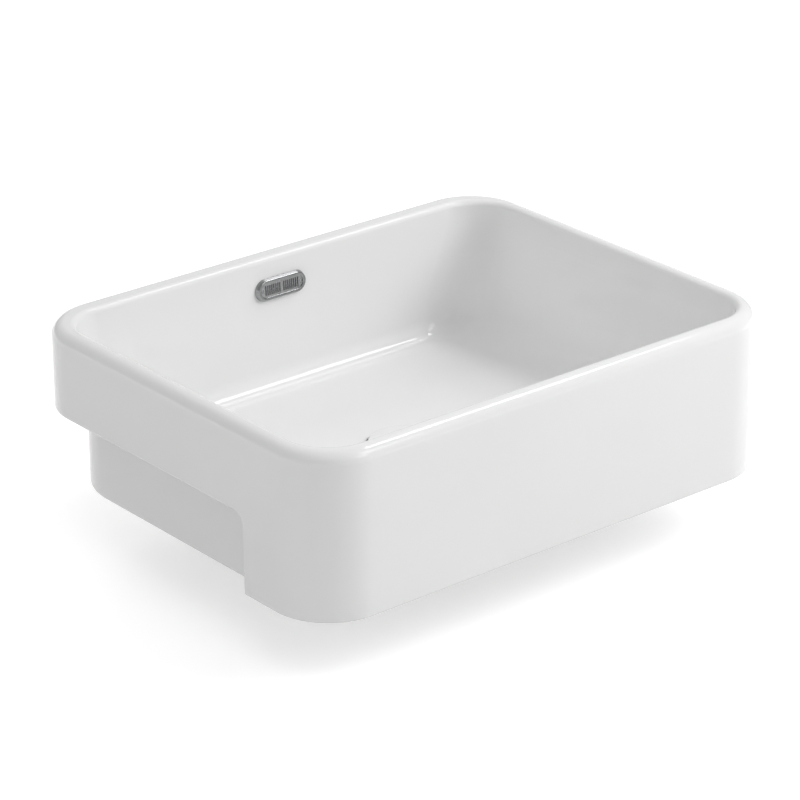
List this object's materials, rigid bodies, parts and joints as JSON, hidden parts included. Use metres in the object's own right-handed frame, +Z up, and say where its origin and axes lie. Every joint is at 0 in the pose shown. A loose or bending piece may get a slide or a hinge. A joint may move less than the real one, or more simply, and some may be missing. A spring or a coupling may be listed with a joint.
{
  "type": "semi recessed basin",
  "caption": "Semi recessed ceramic washbasin with a full-height front apron, a slotted overflow trim and a push-to-open waste under a ceramic plug cap.",
  "frame": {"origin": "on the drain's axis, in the plane of the ledge that rests on the counter", "axes": "+Z up out of the bowl, -Y towards the user and the apron, +X to the user's right"},
  "size_m": [0.5, 0.392, 0.204],
  "materials": {
    "glazed_ceramic_white": "glossy white glaze",
    "glazed_ceramic_cap": "glossy white glaze",
    "chrome_trim": "polished",
    "chrome_grille": "satin chrome",
    "chrome_waste": "polished",
    "moulded_grey": "moulded",
    "moulded_white": "moulded",
    "rubber_black": "matte",
    "brass_nut": "machined",
    "brass_turned": "turned",
    "steel_pin": "ground",
    "spring_steel": "drawn wire"
  },
  "bodies": {
    "basin": {"basin_body": "glazed_ceramic_white", "overflow_bezel": "chrome_trim", "overflow_grille": "chrome_grille", "overflow_rivets": "chrome_trim", "overflow_sleeve": "moulded_grey", "overflow_gasket": "rubber_black", "waste_body": "chrome_waste", "flange_seal": "rubber_black", "lower_gasket": "rubber_black", "friction_washer": "moulded_white", "backnut": "brass_nut", "cartridge_housing": "brass_turned", "cartridge_locknut": "brass_nut", "cartridge_retainer": "brass_turned", "cartridge_spring": "spring_steel", "latch_washer": "moulded_white"},
    "plug": {"plug_cap": "glazed_ceramic_cap", "cap_pad": "rubber_black", "cap_carrier": "moulded_white", "plug_seal": "rubber_black", "plug_plunger": "brass_turned", "follower_pin": "steel_pin"},
    "latch": {"latch_ring": "moulded_white"}
  },
  "joints": [
    {"name": "plug_slide", "type": "slide", "parent": "basin", "child": "plug", "axis": [0, 0, 1], "range_m": [0, 0.008], "deforming": ["cartridge_spring"]},
    {"name": "latch_turn", "type": "hinge", "parent": "basin", "child": "latch", "pos_m": [0, 0, -0.0757], "axis": [0, 0, 1], "range_deg": [0, 45]}
  ],
  "couplings": [
    {"joint": "latch_turn", "follows": "plug_slide", "rad_per_m": 98.175}
  ]
}
